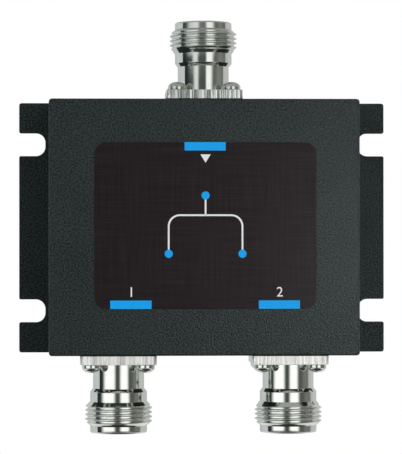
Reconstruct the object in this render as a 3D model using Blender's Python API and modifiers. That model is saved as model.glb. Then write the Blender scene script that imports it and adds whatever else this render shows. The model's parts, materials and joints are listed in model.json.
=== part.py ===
"""Two-way coaxial power splitter.

A housing milled as a tray is closed from behind by a mounting plate with four open notches.
One screw-on socket is the input on top, and two more are the outputs below.
Inside, a printed divider track shares the input between the two outputs.

The frame is the one it hangs in on a wall: X to the right, Z up, the front towards -Y,
and the origin in the middle of the mounting plate's back face.
"""

import math

import bmesh
import bpy
from mathutils import Matrix, Vector

MM = 0.001

# What lies on something keeps this much air to it
SEAT = 0.05 * MM

# Mounting plate
PLATE_WIDTH = 88.0 * MM
PLATE_HEIGHT = 60.0 * MM
PLATE_THICKNESS = 2.0 * MM
PLATE_CORNER = 0.6 * MM
PLATE_EDGE = 0.25 * MM
NOTCH_WIDTH = 5.5 * MM
NOTCH_DEPTH = 6.3 * MM
NOTCH_CORNER = 2.3 * MM
NOTCH_MOUTH_CORNER = 0.4 * MM
NOTCH_HEIGHTS = (-20.0 * MM, 20.0 * MM)

# Housing
HOUSING_WIDTH = 72.6 * MM
HOUSING_HEIGHT = 60.0 * MM
HOUSING_FRONT = -20.0 * MM
HOUSING_CORNER = 0.7 * MM
HOUSING_FRONT_EDGE = 0.4 * MM
SIDE_WALL = 5.3 * MM
END_WALL = 5.7 * MM
POCKET_CORNER = 3.0 * MM

# Front label
LABEL_WIDTH = 51.8 * MM
LABEL_HEIGHT = 38.85 * MM
LABEL_THICKNESS = 0.15 * MM
LABEL_CORNER = 2.8 * MM
LABEL_OFFSET_X = 0.2 * MM
LABEL_OFFSET_Z = 0.4 * MM

# Sockets: where their axes stand
AXIS_Y = -11.0 * MM
OUTPUT_OFFSET = 20.1 * MM

# Socket shell, in heights above the seat of its flange
FLANGE_SIZE = 17.9 * MM
FLANGE_THICKNESS = 2.1 * MM
FLANGE_CORNER = 1.0 * MM
FLANGE_HOLE_SPACING = 12.7 * MM
FLANGE_HOLE_RADIUS = 1.45 * MM
BARREL_RADIUS = 6.04 * MM
BARREL_TOP = 7.9 * MM
COLLAR_RADIUS = 6.715 * MM
COLLAR_BOTTOM = 8.7 * MM
COLLAR_TOP = 11.0 * MM
THREAD_RADIUS = 7.9 * MM
THREAD_ROOT_RADIUS = 7.3 * MM
THREAD_PITCH = 1.058 * MM
THREAD_TURNS = 4
THREAD_BOTTOM = 11.75 * MM
RIM_LAND_BOTTOM = 16.7 * MM
RIM_CHAMFER = 0.4 * MM
SHELL_TOP = 18.4 * MM
MOUTH_RADIUS = 4.3 * MM
MOUTH_CHAMFER = 0.3 * MM
REFERENCE_HEIGHT = 9.3 * MM
LINE_RADIUS = 3.5 * MM

# Socket insulator and centre contact
INSULATOR_RADIUS = 3.43 * MM
INSULATOR_TAIL_RADIUS = 2.05 * MM
CONTACT_RADIUS = 1.52 * MM
CONTACT_TOP = 13.9 * MM
CONTACT_SHOULDER = 2.4 * MM
CONTACT_TIP_CHAMFER = 0.25 * MM
CONTACT_BORE_RADIUS = 0.83 * MM
CONTACT_BORE_DEPTH = 4.2 * MM
CONTACT_SLOT = 0.3 * MM
CONTACT_SLOT_DEPTH = 3.6 * MM
PIN_RADIUS = 0.635 * MM
PIN_REACH = 2.6 * MM
CONTACT_CLEARANCE = 0.06 * MM

# Fastener sizes: screw radius, head radius, head height, length, recess span and depth
FLANGE_SCREW = (1.25 * MM, 2.15 * MM, 1.9 * MM, 5.6 * MM, 2.3 * MM, 1.0 * MM)
BOARD_SCREW = (1.0 * MM, 1.9 * MM, 1.3 * MM, 3.6 * MM, 1.9 * MM, 0.7 * MM)
COVER_SCREW_RADIUS = 1.25 * MM
COVER_SCREW_HEAD_RADIUS = 2.3 * MM
COVER_SCREW_LENGTH = 6.4 * MM
COVER_SCREW_SUNK = 0.12 * MM
COVER_SCREW_RIM = 0.15 * MM
COVER_SCREW_INSET = 3.0 * MM
COVER_RECESS_SPAN = 2.5 * MM
COVER_RECESS_DEPTH = 1.0 * MM
RECESS_WIDTH_SHARE = 0.27
TAPPED_CLEARANCE = 0.08 * MM
TAPPED_EXTRA = 0.8 * MM

# Circuit board, divider track and isolation resistors
BOARD_MARGIN = 0.2 * MM
BOARD_THICKNESS = 0.8 * MM
BOARD_SCREW_X = 27.4 * MM
BOARD_SCREW_Z = 20.4 * MM
BOARD_HOLE_RADIUS = 1.15 * MM
FOIL_THICKNESS = 0.07 * MM
TRACK_MARGIN = 0.4 * MM
PORT_TRACK_WIDTH = 1.9 * MM
JUNCTION_HEIGHT = 17.4 * MM
ARM_TOP = 17.0 * MM
ARM_WAVES_END = -8.0 * MM
ARM_BEND_END = -20.0 * MM
ARM_FROM_MIDDLE = 0.95 * MM
ARM_SWING = 5.4 * MM
ARM_TOP_WIDTH = 0.7 * MM
ARM_END_WIDTH = 1.1 * MM
ARM_WAVES = 3
RESISTOR_LENGTH = 2.0 * MM
RESISTOR_WIDTH = 1.25 * MM
RESISTOR_HEIGHT = 0.5 * MM
RESISTOR_EDGE = 0.08 * MM

# Sides of round shapes
SHELL_SIDES = 36
BORE_SIDES = 24
CONTACT_SIDES = 16
SCREW_SIDES = 12
CORNER_STEPS = 5
WAVE_STEPS = 10
BEND_STEPS = 8

# Levels that follow from the sizes above
HOUSING_REAR = -PLATE_THICKNESS - SEAT
FOIL_TOP = AXIS_Y - PIN_RADIUS - SEAT
BOARD_TOP = FOIL_TOP - FOIL_THICKNESS - SEAT
FLOOR_LEVEL = BOARD_TOP - BOARD_THICKNESS - SEAT
POCKET_WIDTH = HOUSING_WIDTH - 2 * SIDE_WALL
POCKET_HEIGHT = HOUSING_HEIGHT - 2 * END_WALL
BOARD_WIDTH = POCKET_WIDTH - 2 * BOARD_MARGIN
BOARD_HEIGHT = POCKET_HEIGHT - 2 * BOARD_MARGIN
COVER_SCREW_X = HOUSING_WIDTH / 2 - COVER_SCREW_INSET
COVER_SCREW_Z = HOUSING_HEIGHT / 2 - COVER_SCREW_INSET
PAST = 1.0 * MM


def start_clean():
    """Remove whatever the file holds."""
    for leftover in list(bpy.data.objects):
        bpy.data.objects.remove(leftover)


def collection(name):
    made = bpy.data.collections.new(name)
    bpy.context.scene.collection.children.link(made)
    return made


def material(name, colour, roughness, metallic):
    """A Principled material of one colour."""
    made = bpy.data.materials.new(name)
    made.use_nodes = True
    shader = made.node_tree.nodes["Principled BSDF"]
    shader.inputs["Base Color"].default_value = (*colour, 1.0)
    shader.inputs["Roughness"].default_value = roughness
    shader.inputs["Metallic"].default_value = metallic
    return made


def add_object(name, mesh, group, surface=None, parent=None):
    """Link a mesh as a named object, with its material and parent."""
    made = bpy.data.objects.new(name, mesh)
    group.objects.link(made)
    if surface:
        mesh.materials.clear()
        mesh.materials.append(surface)
    if parent:
        made.parent = parent
    return made


def round_off(mesh, angle=35.0):
    """Shade the round faces smooth and keep the edges sharper than the angle."""
    mesh.shade_smooth()
    mesh.set_sharp_from_angle(angle=math.radians(angle))


def mesh_from(shape, name):
    """Turn a bmesh into a mesh and let the bmesh go."""
    bmesh.ops.recalc_face_normals(shape, faces=shape.faces)
    mesh = bpy.data.meshes.new(name)
    shape.to_mesh(mesh)
    shape.free()
    return mesh


def evaluated_mesh(source):
    """The mesh that an object's modifiers make, without the modifiers."""
    bpy.context.view_layer.update()
    depsgraph = bpy.context.evaluated_depsgraph_get()
    return bpy.data.meshes.new_from_object(source.evaluated_get(depsgraph))


def block(name, size, centre=(0.0, 0.0, 0.0)):
    """A box mesh."""
    shape = bmesh.new()
    scale = Matrix.Diagonal((*size, 1.0))
    bmesh.ops.create_cube(shape, size=1.0, matrix=Matrix.Translation(centre) @ scale)
    return mesh_from(shape, name)


def round_edges(mesh, radius, segments, chosen):
    """Round the edges of a mesh that a test picks."""
    shape = bmesh.new()
    shape.from_mesh(mesh)
    edges = [edge for edge in shape.edges if chosen(edge)]
    bmesh.ops.bevel(shape, geom=edges, offset=radius, segments=segments, profile=0.5, affect="EDGES")
    shape.to_mesh(mesh)
    shape.free()


def runs_through(edge):
    """True for an edge that runs from front to back."""
    along = edge.verts[1].co - edge.verts[0].co
    return abs(along.y) > 0.99 * along.length


def on_front_rim(edge):
    """True for an edge in the housing's front plane."""
    return max(corner.co.y for corner in edge.verts) < HOUSING_FRONT + 0.1 * SEAT


def is_face_rim(edge):
    """True for an edge between a flat shape's face and its side."""
    return not runs_through(edge) and edge.calc_face_angle() > math.radians(60)


def is_any(_edge):
    return True


def rods(name, radius, bottom, top, places, sides):
    """Cylinders standing along Z at several places of the XY plane, as one mesh."""
    shape = bmesh.new()
    for x, y in places:
        bmesh.ops.create_cone(
            shape, cap_ends=True, segments=sides, radius1=radius, radius2=radius,
            depth=top - bottom, matrix=Matrix.Translation((x, y, (top + bottom) / 2)),
        )
    return mesh_from(shape, name)


def turned(name, profile, group, sides):
    """A body turned around Z from (radius, height) points that run down its outer side."""
    shape = bmesh.new()
    corners = [shape.verts.new((radius, 0.0, height)) for radius, height in profile]
    for upper, lower in zip(corners, corners[1:]):
        shape.edges.new((upper, lower))
    mesh = bpy.data.meshes.new(name)
    shape.to_mesh(mesh)
    shape.free()
    made = add_object(name, mesh, group)
    screw = made.modifiers.new("Turn", "SCREW")
    screw.axis = "Z"
    screw.angle = 2 * math.pi
    screw.steps = sides
    screw.render_steps = sides
    screw.use_merge_vertices = True
    screw.merge_threshold = 0.005 * MM
    return made


def as_cutter(mesh_or_object, group, parent=None):
    """Keep an object, or a mesh made into one, only for cutting others."""
    if isinstance(mesh_or_object, bpy.types.Mesh):
        made = add_object(mesh_or_object.name, mesh_or_object, group, parent=parent)
    else:
        made = mesh_or_object
    made.hide_render = True
    made.display_type = "WIRE"
    return made


def combine(target, tool, operation, solver="EXACT"):
    """Cut or join one object with another."""
    modifier = target.modifiers.new(operation.title(), "BOOLEAN")
    modifier.operation = operation
    modifier.solver = solver
    modifier.object = tool


def arc(centre_x, centre_y, radius, first, last, steps):
    """Points of an arc, with its angles in degrees."""
    points = []
    for step in range(steps + 1):
        angle = math.radians(first + (last - first) * step / steps)
        points.append((centre_x + radius * math.cos(angle), centre_y + radius * math.sin(angle)))
    return points


def rounded_rectangle(width, height, radius, steps=CORNER_STEPS):
    """The outline of a rectangle with round corners, counter-clockwise."""
    x = width / 2 - radius
    y = height / 2 - radius
    return (
        arc(x, -y, radius, -90, 0, steps)
        + arc(x, y, radius, 0, 90, steps)
        + arc(-x, y, radius, 90, 180, steps)
        + arc(-x, -y, radius, 180, 270, steps)
    )


def flat_shape(name, outline, thickness, group):
    """A flat outline in the XY plane given a thickness about it, as a mesh."""
    curve = bpy.data.curves.new(name, "CURVE")
    curve.dimensions = "2D"
    curve.fill_mode = "BOTH"
    curve.extrude = thickness / 2
    spline = curve.splines.new("POLY")
    spline.points.add(len(outline) - 1)
    for point, (x, y) in zip(spline.points, outline):
        point.co = (x, y, 0.0, 1.0)
    spline.use_cyclic_u = True
    drawn = bpy.data.objects.new(name, curve)
    group.objects.link(drawn)
    mesh = evaluated_mesh(drawn)
    bpy.data.objects.remove(drawn)
    shape = bmesh.new()
    shape.from_mesh(mesh)
    bmesh.ops.remove_doubles(shape, verts=shape.verts, dist=0.005 * MM)
    bmesh.ops.dissolve_limit(shape, angle_limit=math.radians(1), verts=shape.verts, edges=shape.edges)
    bpy.data.meshes.remove(mesh)
    return mesh_from(shape, name)


def stand_facing_front(mesh, level):
    """Turn a flat mesh from the XY plane into the XZ plane, with its middle at a level of Y."""
    mesh.transform(Matrix.Translation((0.0, level, 0.0)) @ Matrix.Rotation(math.pi / 2, 4, "X"))
    return mesh


def cover_screw_places():
    """Where the mounting plate is screwed to the housing, as (x, z)."""
    corners = [(x, z) for x in (-COVER_SCREW_X, COVER_SCREW_X) for z in (-COVER_SCREW_Z, COVER_SCREW_Z)]
    middles = [(-COVER_SCREW_X, 0.0), (COVER_SCREW_X, 0.0), (0.0, -COVER_SCREW_Z), (0.0, COVER_SCREW_Z)]
    return corners + middles


def board_screw_places():
    """Where the board is screwed to the housing's floor, as (x, z)."""
    return [(x, z) for x in (-BOARD_SCREW_X, BOARD_SCREW_X) for z in (-BOARD_SCREW_Z, BOARD_SCREW_Z)]


def flange_hole_places():
    """The four holes of a socket's flange about its axis."""
    half = FLANGE_HOLE_SPACING / 2
    return [(x, y) for x in (-half, half) for y in (-half, half)]


def port_frames(group):
    """One empty for each socket, on the housing's wall with Z pointing outwards."""
    half = HOUSING_HEIGHT / 2
    places = {
        "input": (0.0, half, 0.0),
        "output_1": (-OUTPUT_OFFSET, -half, math.pi),
        "output_2": (OUTPUT_OFFSET, -half, math.pi),
    }
    frames = {}
    for name, (x, z, turn) in places.items():
        frame = bpy.data.objects.new(name + "_port", None)
        group.objects.link(frame)
        frame.location = (x, AXIS_Y, z)
        frame.rotation_euler = (0.0, turn, 0.0)
        frames[name] = frame
    return frames


def notched_outline():
    """The mounting plate's outline, with two notches open to each side."""
    x = PLATE_WIDTH / 2
    z = PLATE_HEIGHT / 2
    inner = x - NOTCH_DEPTH + NOTCH_CORNER
    mouth = NOTCH_MOUTH_CORNER
    right = arc(x - PLATE_CORNER, PLATE_CORNER - z, PLATE_CORNER, -90, 0, 3)
    for height in NOTCH_HEIGHTS:
        low = height - NOTCH_WIDTH / 2
        high = height + NOTCH_WIDTH / 2
        right += arc(x - mouth, low - mouth, mouth, 0, 90, 2)
        right += arc(inner, low + NOTCH_CORNER, NOTCH_CORNER, 270, 180, CORNER_STEPS)
        right += arc(inner, high - NOTCH_CORNER, NOTCH_CORNER, 180, 90, CORNER_STEPS)
        right += arc(x - mouth, high + mouth, mouth, 270, 360, 2)
    right += arc(x - PLATE_CORNER, z - PLATE_CORNER, PLATE_CORNER, 0, 90, 3)
    return right + [(-across, up) for across, up in reversed(right)]


def rear_plate(parts, cutters, surface):
    """The mounting plate with its countersunk holes."""
    mesh = flat_shape("rear_plate", notched_outline(), PLATE_THICKNESS, parts)
    stand_facing_front(mesh, -PLATE_THICKNESS / 2)
    round_edges(mesh, PLATE_EDGE, 1, is_face_rim)
    plate = add_object("rear_plate", mesh, parts, surface)
    sink = turned("plate_countersink", countersink_profile(TAPPED_CLEARANCE), cutters, SCREW_SIDES)
    sink_mesh = evaluated_mesh(sink)
    bpy.data.objects.remove(sink)
    shape = bmesh.new()
    for x, z in cover_screw_places():
        start = len(shape.verts)
        shape.from_mesh(sink_mesh)
        shape.verts.ensure_lookup_table()
        place = Matrix.Translation((x, 0.0, z)) @ Matrix.Rotation(-math.pi / 2, 4, "X")
        bmesh.ops.transform(shape, matrix=place, verts=shape.verts[start:])
    sinks = as_cutter(mesh_from(shape, "plate_countersinks"), cutters)
    combine(plate, sinks, "DIFFERENCE", "MANIFOLD")
    return plate


def countersink_profile(clearance):
    """Half section of a countersunk screw's way through the plate, along Z, rear face at 0."""
    radius = COVER_SCREW_RADIUS + 2 * clearance
    wide = COVER_SCREW_HEAD_RADIUS + clearance
    cone_top = -COVER_SCREW_SUNK - COVER_SCREW_RIM
    return [
        (0.0, PAST),
        (wide, PAST),
        (wide, cone_top),
        (radius, cone_top - wide + radius),
        (radius, -PLATE_THICKNESS - PAST),
        (0.0, -PLATE_THICKNESS - PAST),
    ]


def housing(parts, cutters, ports, surface):
    """The milled tray: a block, its pocket, and all its bores and tapped holes."""
    depth = HOUSING_REAR - HOUSING_FRONT
    middle = (HOUSING_REAR + HOUSING_FRONT) / 2
    mesh = block("housing", (HOUSING_WIDTH, depth, HOUSING_HEIGHT), (0.0, middle, 0.0))
    round_edges(mesh, HOUSING_CORNER, 3, runs_through)
    round_edges(mesh, HOUSING_FRONT_EDGE, 2, on_front_rim)
    body = add_object("housing", mesh, parts, surface)

    outline = rounded_rectangle(POCKET_WIDTH, POCKET_HEIGHT, POCKET_CORNER)
    pocket = flat_shape("housing_pocket", outline, HOUSING_REAR + PAST - FLOOR_LEVEL, cutters)
    stand_facing_front(pocket, (HOUSING_REAR + PAST + FLOOR_LEVEL) / 2)
    combine(body, as_cutter(pocket, cutters), "DIFFERENCE")

    tapped = COVER_SCREW_RADIUS + TAPPED_CLEARANCE
    bottom = COVER_SCREW_LENGTH + TAPPED_EXTRA
    cover_holes = rods("housing_cover_holes", tapped, -PAST, bottom, cover_screw_places(), SCREW_SIDES)
    cover_holes.transform(Matrix.Rotation(math.pi / 2, 4, "X"))
    combine(body, as_cutter(cover_holes, cutters), "DIFFERENCE")

    radius, length = BOARD_SCREW[0], BOARD_SCREW[3]
    deep = length - BOARD_THICKNESS + TAPPED_EXTRA
    board_holes = rods(
        "housing_board_holes", radius + TAPPED_CLEARANCE, -FLOOR_LEVEL - PAST,
        -FLOOR_LEVEL + deep, board_screw_places(), SCREW_SIDES,
    )
    board_holes.transform(Matrix.Rotation(math.pi / 2, 4, "X"))
    combine(body, as_cutter(board_holes, cutters), "DIFFERENCE")

    radius, length = FLANGE_SCREW[0], FLANGE_SCREW[3]
    deep = length - FLANGE_THICKNESS + 0.5 * TAPPED_EXTRA
    for name, port in ports.items():
        holes = rods(
            name + "_tapped_holes", radius + TAPPED_CLEARANCE, -deep, PAST,
            flange_hole_places(), SCREW_SIDES,
        )
        combine(body, as_cutter(holes, cutters, port), "DIFFERENCE")
        bore_radius = INSULATOR_TAIL_RADIUS + CONTACT_CLEARANCE
        bore = rods(name + "_bore", bore_radius, -END_WALL - 3 * SEAT, PAST, [(0.0, 0.0)], BORE_SIDES)
        combine(body, as_cutter(bore, cutters, port), "DIFFERENCE")
    return body


def front_label(parts, surface):
    """The printed sheet on the front."""
    outline = rounded_rectangle(LABEL_WIDTH, LABEL_HEIGHT, LABEL_CORNER)
    mesh = flat_shape("front_label", outline, LABEL_THICKNESS, parts)
    stand_facing_front(mesh, HOUSING_FRONT - SEAT - LABEL_THICKNESS / 2)
    mesh.transform(Matrix.Translation((LABEL_OFFSET_X, 0.0, LABEL_OFFSET_Z)))
    return add_object("front_label", mesh, parts, surface)


def shell_profile():
    """Half section of a socket shell's outside, from the rim down into the flange."""
    profile = [
        (0.0, SHELL_TOP),
        (COLLAR_RADIUS - RIM_CHAMFER, SHELL_TOP),
        (COLLAR_RADIUS, SHELL_TOP - RIM_CHAMFER),
        (COLLAR_RADIUS, RIM_LAND_BOTTOM),
    ]
    for turn in range(THREAD_TURNS - 1, -1, -1):
        crest = THREAD_BOTTOM + (turn + 0.5) * THREAD_PITCH
        profile.append((THREAD_ROOT_RADIUS, crest + THREAD_PITCH / 2))
        profile.append((THREAD_RADIUS, crest))
    profile += [
        (THREAD_ROOT_RADIUS, THREAD_BOTTOM),
        (COLLAR_RADIUS, COLLAR_TOP),
        (COLLAR_RADIUS, COLLAR_BOTTOM),
        (BARREL_RADIUS, BARREL_TOP),
        (BARREL_RADIUS, FLANGE_THICKNESS / 2),
        (0.0, FLANGE_THICKNESS / 2),
    ]
    return profile


def shell_bore_profile():
    """Half section of the hollow in a socket shell, from above the rim to below the flange."""
    return [
        (0.0, SHELL_TOP + PAST),
        (MOUTH_RADIUS + MOUTH_CHAMFER, SHELL_TOP + PAST),
        (MOUTH_RADIUS + MOUTH_CHAMFER, SHELL_TOP),
        (MOUTH_RADIUS, SHELL_TOP - MOUTH_CHAMFER),
        (MOUTH_RADIUS, REFERENCE_HEIGHT),
        (LINE_RADIUS, REFERENCE_HEIGHT),
        (LINE_RADIUS, -PAST),
        (0.0, -PAST),
    ]


def shell_mesh(cutters):
    """One socket shell: turned outside, square flange, stepped bore and four holes."""
    shell = turned("shell_blank", shell_profile(), cutters, SHELL_SIDES)
    outline = rounded_rectangle(FLANGE_SIZE, FLANGE_SIZE, FLANGE_CORNER, 3)
    flange = flat_shape("shell_flange", outline, FLANGE_THICKNESS, cutters)
    flange.transform(Matrix.Translation((0.0, 0.0, FLANGE_THICKNESS / 2)))
    flange = add_object("shell_flange", flange, cutters)
    bore = turned("shell_bore", shell_bore_profile(), cutters, BORE_SIDES)
    holes = rods(
        "shell_flange_holes", FLANGE_HOLE_RADIUS, -PAST, FLANGE_THICKNESS + PAST,
        flange_hole_places(), SCREW_SIDES,
    )
    holes = add_object("shell_flange_holes", holes, cutters)
    combine(shell, flange, "UNION")
    combine(shell, bore, "DIFFERENCE")
    combine(shell, holes, "DIFFERENCE")
    mesh = evaluated_mesh(shell)
    for tool in (shell, flange, bore, holes):
        bpy.data.objects.remove(tool)
    return mesh


def insulator_mesh(cutters):
    """The stepped sleeve between a socket's shell and its contact."""
    outside = [
        (0.0, REFERENCE_HEIGHT - SEAT),
        (INSULATOR_RADIUS, REFERENCE_HEIGHT - SEAT),
        (INSULATOR_RADIUS, SEAT),
        (INSULATOR_TAIL_RADIUS, SEAT),
        (INSULATOR_TAIL_RADIUS, -END_WALL),
        (0.0, -END_WALL),
    ]
    contact_way = CONTACT_RADIUS + CONTACT_CLEARANCE
    pin_way = PIN_RADIUS + CONTACT_CLEARANCE
    inside = [
        (0.0, REFERENCE_HEIGHT + PAST),
        (contact_way, REFERENCE_HEIGHT + PAST),
        (contact_way, CONTACT_SHOULDER - SEAT),
        (pin_way, CONTACT_SHOULDER - SEAT),
        (pin_way, -END_WALL - PAST),
        (0.0, -END_WALL - PAST),
    ]
    sleeve = turned("insulator_blank", outside, cutters, BORE_SIDES)
    bore = turned("insulator_bore", inside, cutters, CONTACT_SIDES)
    combine(sleeve, bore, "DIFFERENCE")
    mesh = evaluated_mesh(sleeve)
    for tool in (sleeve, bore):
        bpy.data.objects.remove(tool)
    return mesh


def contact_mesh(cutters):
    """The centre contact: a slotted cup in front and a solder pin behind."""
    outside = [
        (0.0, CONTACT_TOP),
        (CONTACT_RADIUS - CONTACT_TIP_CHAMFER, CONTACT_TOP),
        (CONTACT_RADIUS, CONTACT_TOP - CONTACT_TIP_CHAMFER),
        (CONTACT_RADIUS, CONTACT_SHOULDER),
        (PIN_RADIUS, CONTACT_SHOULDER),
        (PIN_RADIUS, -END_WALL - PIN_REACH),
        (0.0, -END_WALL - PIN_REACH),
    ]
    contact = turned("contact_blank", outside, cutters, CONTACT_SIDES)
    bore = rods(
        "contact_bore", CONTACT_BORE_RADIUS, CONTACT_TOP - CONTACT_BORE_DEPTH,
        CONTACT_TOP + PAST, [(0.0, 0.0)], CONTACT_SIDES,
    )
    tools = [add_object("contact_bore", bore, cutters)]
    across = 2 * CONTACT_RADIUS + PAST
    middle = (0.0, 0.0, CONTACT_TOP + (PAST - CONTACT_SLOT_DEPTH) / 2)
    height = CONTACT_SLOT_DEPTH + PAST
    for size in ((across, CONTACT_SLOT, height), (CONTACT_SLOT, across, height)):
        tools.append(add_object("contact_slot", block("contact_slot", size, middle), cutters))
    for tool in tools:
        combine(contact, tool, "DIFFERENCE")
    mesh = evaluated_mesh(contact)
    for tool in [contact, *tools]:
        bpy.data.objects.remove(tool)
    return mesh


def cut_cross(screw, top, span, depth, cutters):
    """Cut a cross recess into a screw head, return the mesh and remove the tools."""
    width = span * RECESS_WIDTH_SHARE
    middle = (0.0, 0.0, top + (PAST - depth) / 2)
    tools = []
    for size in ((span, width, depth + PAST), (width, span, depth + PAST)):
        tools.append(add_object("screw_recess", block("screw_recess", size, middle), cutters))
    for tool in tools:
        combine(screw, tool, "DIFFERENCE")
    mesh = evaluated_mesh(screw)
    for tool in [screw, *tools]:
        bpy.data.objects.remove(tool)
    round_off(mesh)
    return mesh


def pan_screw_mesh(name, size, cutters):
    """A pan-head screw standing along Z, with the underside of its head at 0."""
    radius, head_radius, head_height, length, recess_span, recess_depth = size
    dome_steps = 3
    profile = [(0.0, head_height)]
    for step in range(1, dome_steps + 1):
        angle = math.pi / 2 * step / dome_steps
        across = head_radius * math.sin(angle)
        profile.append((across, head_height * (0.35 + 0.65 * math.cos(angle))))
    profile += [
        (head_radius, 0.0),
        (radius, 0.0),
        (radius, -length),
        (0.0, -length),
    ]
    screw = turned(name, profile, cutters, SCREW_SIDES)
    return cut_cross(screw, head_height, recess_span, recess_depth, cutters)


def flat_screw_mesh(cutters):
    """A countersunk screw standing along Z, with the plate's rear face at 0."""
    cone_top = -COVER_SCREW_SUNK - COVER_SCREW_RIM
    profile = [
        (0.0, -COVER_SCREW_SUNK),
        (COVER_SCREW_HEAD_RADIUS, -COVER_SCREW_SUNK),
        (COVER_SCREW_HEAD_RADIUS, cone_top),
        (COVER_SCREW_RADIUS, cone_top - COVER_SCREW_HEAD_RADIUS + COVER_SCREW_RADIUS),
        (COVER_SCREW_RADIUS, -COVER_SCREW_LENGTH),
        (0.0, -COVER_SCREW_LENGTH),
    ]
    screw = turned("cover_screw", profile, cutters, SCREW_SIDES)
    return cut_cross(screw, -COVER_SCREW_SUNK, COVER_RECESS_SPAN, COVER_RECESS_DEPTH, cutters)


def sockets(parts, cutters, ports, surfaces):
    """Three sockets with their insulators, contacts and flange screws."""
    shell = shell_mesh(cutters)
    insulator = insulator_mesh(cutters)
    contact = contact_mesh(cutters)
    screw = pan_screw_mesh("flange_screw", FLANGE_SCREW, cutters)
    for mesh in (shell, insulator, contact):
        round_off(mesh)
    for name, port in ports.items():
        made = add_object(name + "_shell", shell, parts, surfaces["nickel"], port)
        made.location.z = SEAT
        made = add_object(name + "_insulator", insulator, parts, surfaces["white_plastic"], port)
        made.location.z = SEAT
        made = add_object(name + "_contact", contact, parts, surfaces["gold"], port)
        made.location.z = SEAT
        for number, (x, y) in enumerate(flange_hole_places(), start=1):
            made = add_object(f"{name}_flange_screw_{number}", screw, parts, surfaces["steel"], port)
            made.location = (x, y, FLANGE_THICKNESS + 2 * SEAT)
            made.rotation_euler.z = math.radians(25.0 + 40.0 * number)


def cover_screws(parts, cutters, surface):
    """The eight countersunk screws that hold the mounting plate."""
    mesh = flat_screw_mesh(cutters)
    for number, (x, z) in enumerate(cover_screw_places(), start=1):
        made = add_object(f"cover_screw_{number}", mesh, parts, surface)
        made.location = (x, 0.0, z)
        made.rotation_euler.x = -math.pi / 2


def circuit_board(parts, cutters, surface):
    """The board on the housing's floor."""
    corner = POCKET_CORNER - BOARD_MARGIN
    outline = rounded_rectangle(BOARD_WIDTH, BOARD_HEIGHT, corner, 4)
    mesh = flat_shape("circuit_board", outline, BOARD_THICKNESS, parts)
    stand_facing_front(mesh, BOARD_TOP - BOARD_THICKNESS / 2)
    board = add_object("circuit_board", mesh, parts, surface)
    holes = rods(
        "board_holes", BOARD_HOLE_RADIUS, -BOARD_TOP - PAST, -BOARD_TOP + BOARD_THICKNESS + PAST,
        board_screw_places(), SCREW_SIDES,
    )
    holes.transform(Matrix.Rotation(math.pi / 2, 4, "X"))
    combine(board, as_cutter(holes, cutters), "DIFFERENCE")


def board_screws(parts, cutters, surface):
    """Four small screws with their heads on the board."""
    mesh = pan_screw_mesh("board_screw", BOARD_SCREW, cutters)
    for number, (x, z) in enumerate(board_screw_places(), start=1):
        made = add_object(f"board_screw_{number}", mesh, parts, surface)
        made.location = (x, BOARD_TOP + SEAT, z)
        made.rotation_euler.x = -math.pi / 2


def arm_height(share):
    """Height along the waves of an arm, from 0 at its top to 1 at their end."""
    return ARM_TOP + (ARM_WAVES_END - ARM_TOP) * share


def arm_centreline():
    """The right arm of the divider track as (x, z, width), from the junction to the output."""
    points = []
    steps = ARM_WAVES * WAVE_STEPS
    for step in range(steps + 1):
        share = step / steps
        swing = (1 - math.cos(2 * math.pi * ARM_WAVES * share)) / 2
        width = ARM_TOP_WIDTH + (ARM_END_WIDTH - ARM_TOP_WIDTH) * share
        points.append((ARM_FROM_MIDDLE + ARM_SWING * swing, arm_height(share), width))
    for step in range(1, BEND_STEPS + 1):
        share = step / BEND_STEPS
        swing = (1 - math.cos(math.pi * share)) / 2
        x = ARM_FROM_MIDDLE + (OUTPUT_OFFSET - ARM_FROM_MIDDLE) * swing
        z = ARM_WAVES_END + (ARM_BEND_END - ARM_WAVES_END) * share
        width = ARM_END_WIDTH + (PORT_TRACK_WIDTH - ARM_END_WIDTH) * share
        points.append((x, z, width))
    points.append((OUTPUT_OFFSET, TRACK_MARGIN - BOARD_HEIGHT / 2, PORT_TRACK_WIDTH))
    return points


def arm_edge(side):
    """One edge of the right arm: side is 1 for the outer edge and -1 for the inner one."""
    line = arm_centreline()
    edge = []
    for index, (x, z, width) in enumerate(line):
        before = line[max(index - 1, 0)]
        after = line[min(index + 1, len(line) - 1)]
        along = Vector((after[0] - before[0], after[1] - before[1])).normalized()
        if index in (0, len(line) - 1):
            along = Vector((0.0, -1.0))
        edge.append((x - side * along.y * width / 2, z + side * along.x * width / 2))
    return edge


def divider_track(parts, surface):
    """The copper foil: the input line, two waved arms and the output lines, in one piece."""
    top = BOARD_HEIGHT / 2 - TRACK_MARGIN
    right = [(PORT_TRACK_WIDTH / 2, top), (PORT_TRACK_WIDTH / 2, JUNCTION_HEIGHT)]
    right += arm_edge(1)
    right += reversed(arm_edge(-1))
    outline = right + [(-x, z) for x, z in reversed(right)]
    mesh = flat_shape("divider_track", outline, FOIL_THICKNESS, parts)
    stand_facing_front(mesh, FOIL_TOP - FOIL_THICKNESS / 2)
    return add_object("divider_track", mesh, parts, surface)


def isolation_resistors(parts, surface):
    """Chips that bridge the arms where these come together."""
    level = FOIL_TOP + SEAT + RESISTOR_HEIGHT / 2
    for number in range(1, ARM_WAVES + 1):
        name = f"isolation_resistor_{number}"
        mesh = block(name, (RESISTOR_LENGTH, RESISTOR_HEIGHT, RESISTOR_WIDTH))
        round_edges(mesh, RESISTOR_EDGE, 1, is_any)
        made = add_object(name, mesh, parts, surface)
        made.location = (0.0, level, arm_height(number / ARM_WAVES))


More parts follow.
